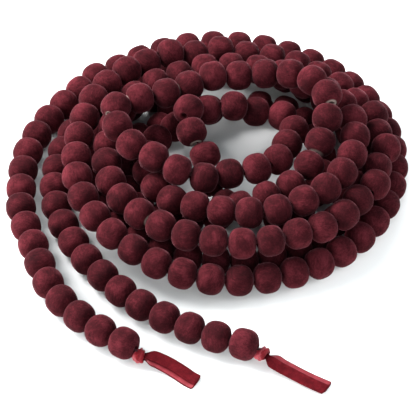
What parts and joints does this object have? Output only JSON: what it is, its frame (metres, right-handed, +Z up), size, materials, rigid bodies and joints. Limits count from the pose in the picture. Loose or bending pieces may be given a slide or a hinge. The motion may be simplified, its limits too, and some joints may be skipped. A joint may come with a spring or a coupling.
{
  "type": "velvet bead garland",
  "caption": "Long garland of round velvet-flocked beads on one string, with a ribbon hanging loop at each end, lying loosely coiled with both ends drawn out.",
  "frame": {"origin": "middle of the coiled garland's footprint, ends included, on the table that it lies on", "axes": "+Z up from the table; the two free ends lie to the front, towards -Y; +X to the right seen from the front"},
  "size_m": [0.2106, 0.263, 0.0523],
  "materials": {
    "bead_velvet": "wine-red flocked velvet over wood, soft and matt with a pale sheen at grazing angles",
    "ribbon_velvet": "crimson velvet ribbon with a silky sheen"
  },
  "bodies": {
    "root": {"beads_01": "bead_velvet", "beads_02": "bead_velvet", "beads_03": "bead_velvet", "beads_04": "bead_velvet", "beads_05": "bead_velvet", "beads_06": "bead_velvet", "beads_07": "bead_velvet", "beads_08": "bead_velvet", "beads_09": "bead_velvet", "beads_10": "bead_velvet", "beads_11": "bead_velvet", "beads_12": "bead_velvet", "beads_13": "bead_velvet", "beads_14": "bead_velvet", "beads_15": "bead_velvet", "beads_16": "bead_velvet", "beads_17": "bead_velvet", "beads_18": "bead_velvet", "beads_19": "bead_velvet", "beads_20": "bead_velvet", "beads_21": "bead_velvet", "beads_22": "bead_velvet", "beads_23": "bead_velvet", "beads_24": "bead_velvet", "beads_25": "bead_velvet", "beads_26": "bead_velvet", "beads_27": "bead_velvet", "beads_28": "bead_velvet", "beads_29": "bead_velvet", "beads_30": "bead_velvet", "beads_31": "bead_velvet", "beads_32": "bead_velvet", "beads_33": "bead_velvet", "beads_34": "bead_velvet", "beads_35": "bead_velvet", "beads_36": "bead_velvet", "beads_37": "bead_velvet", "beads_38": "bead_velvet", "beads_39": "bead_velvet", "beads_40": "bead_velvet", "beads_41": "bead_velvet", "beads_42": "bead_velvet", "beads_43": "bead_velvet", "beads_44": "bead_velvet", "beads_45": "bead_velvet", "beads_46": "bead_velvet", "beads_47": "bead_velvet", "beads_48": "bead_velvet", "beads_49": "bead_velvet", "beads_50": "bead_velvet", "beads_51": "bead_velvet", "beads_52": "bead_velvet", "beads_53": "bead_velvet", "beads_54": "bead_velvet", "beads_55": "bead_velvet", "beads_56": "bead_velvet", "ribbon_knot_a": "ribbon_velvet", "ribbon_loop_a": "ribbon_velvet", "ribbon_knot_b": "ribbon_velvet", "ribbon_loop_b": "ribbon_velvet"}
  },
  "joints": []
}
